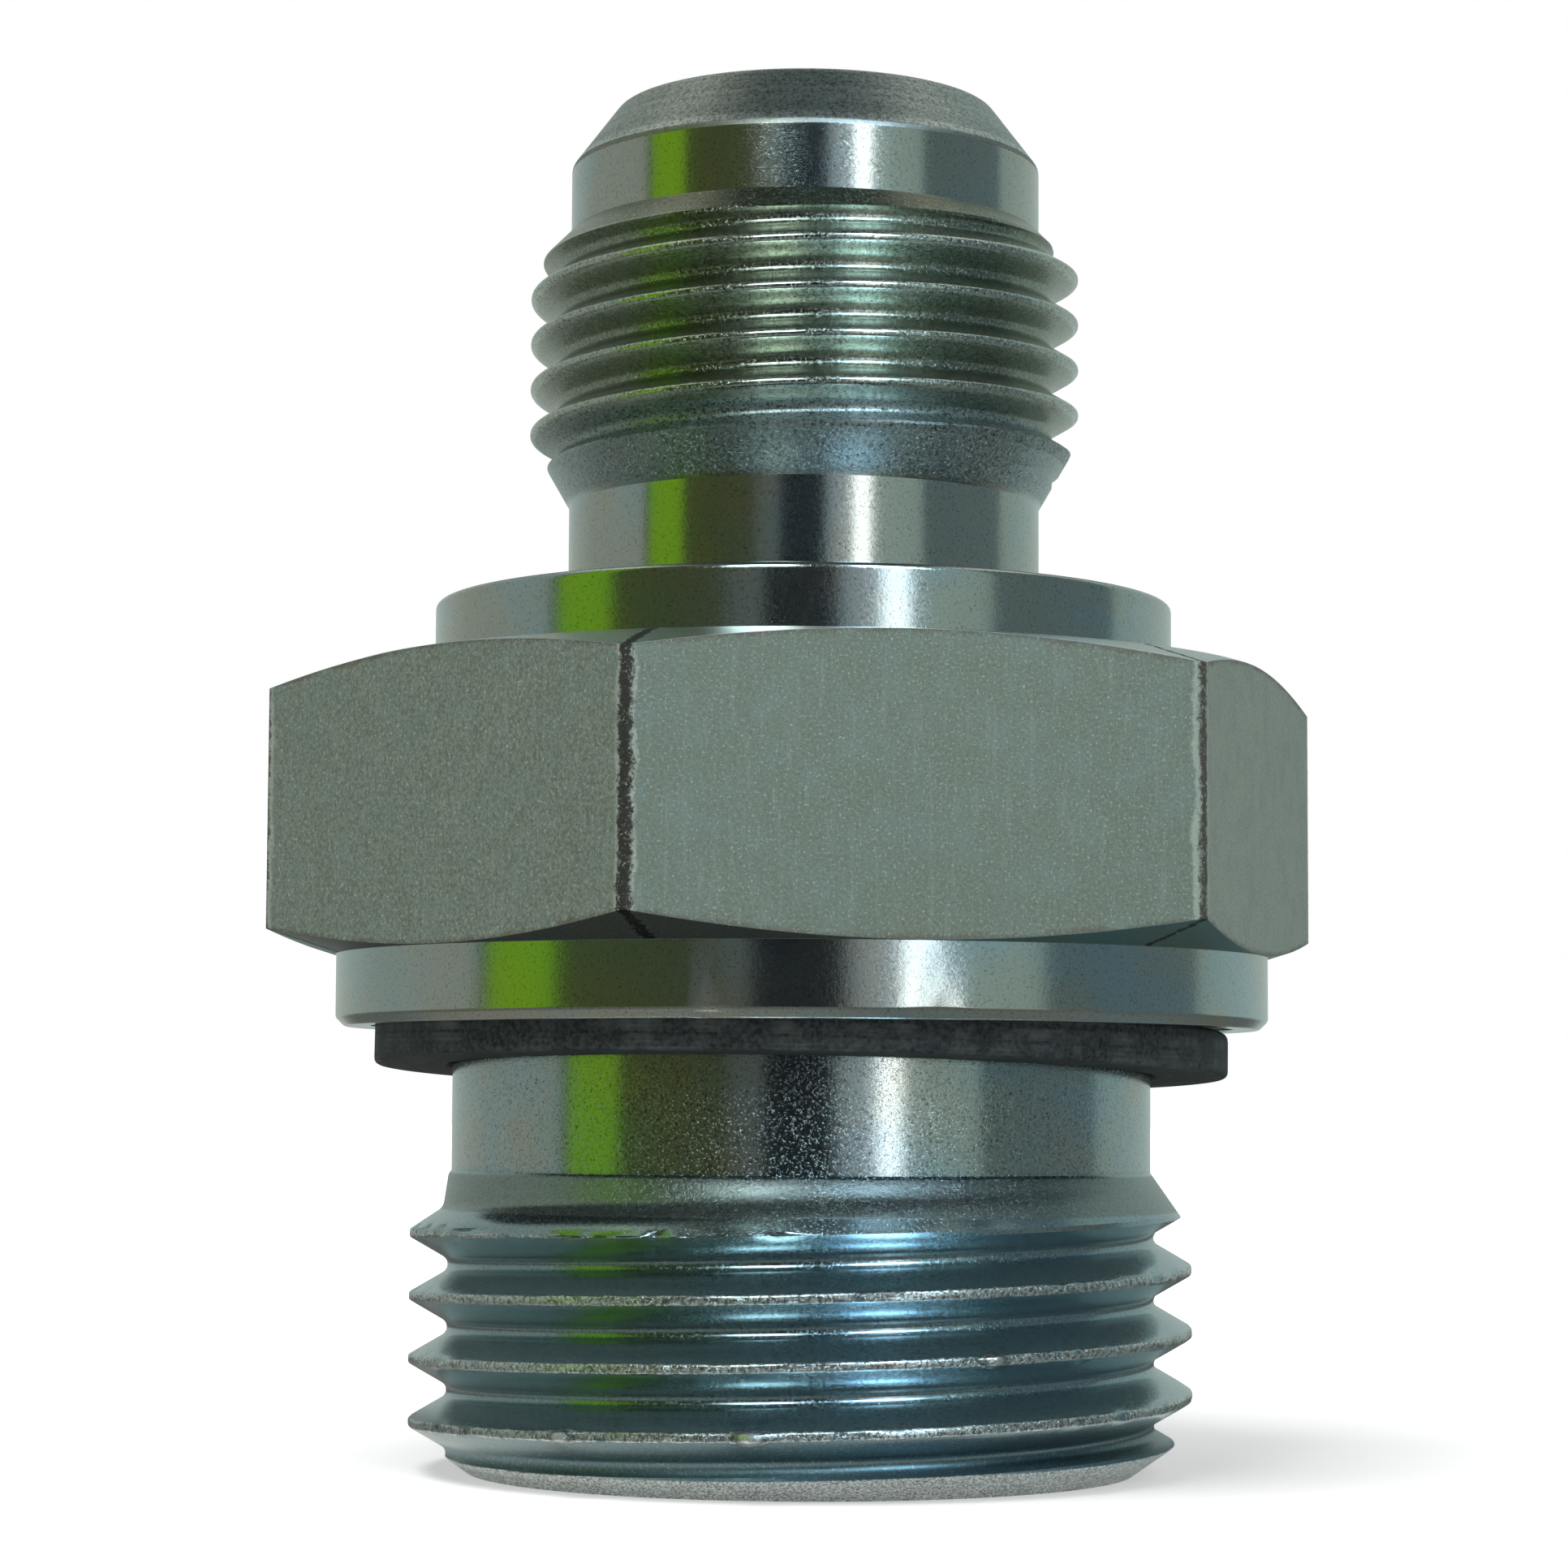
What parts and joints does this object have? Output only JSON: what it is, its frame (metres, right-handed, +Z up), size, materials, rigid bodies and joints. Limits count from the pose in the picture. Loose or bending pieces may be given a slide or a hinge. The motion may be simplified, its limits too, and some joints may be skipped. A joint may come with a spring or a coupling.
{
  "type": "face seal fitting",
  "caption": "Straight hydraulic adapter: parallel stud thread with captive face seal ring, spanner hexagon and male 37 degree flare tube end.",
  "frame": {"origin": "centre of the stud end face, on which the part stands", "axes": "+Z up the turning axis towards the tube-end nose, +X through a corner of the hexagon, +Y square to a hexagon flat"},
  "size_m": [0.0368, 0.032, 0.047],
  "materials": {
    "plated_steel": "turned steel, clear zinc plated, semi-gloss",
    "seal_rubber": "matt black nitrile"
  },
  "bodies": {
    "root": {"adapter_body": "plated_steel", "face_seal_ring": "seal_rubber"}
  },
  "joints": []
}
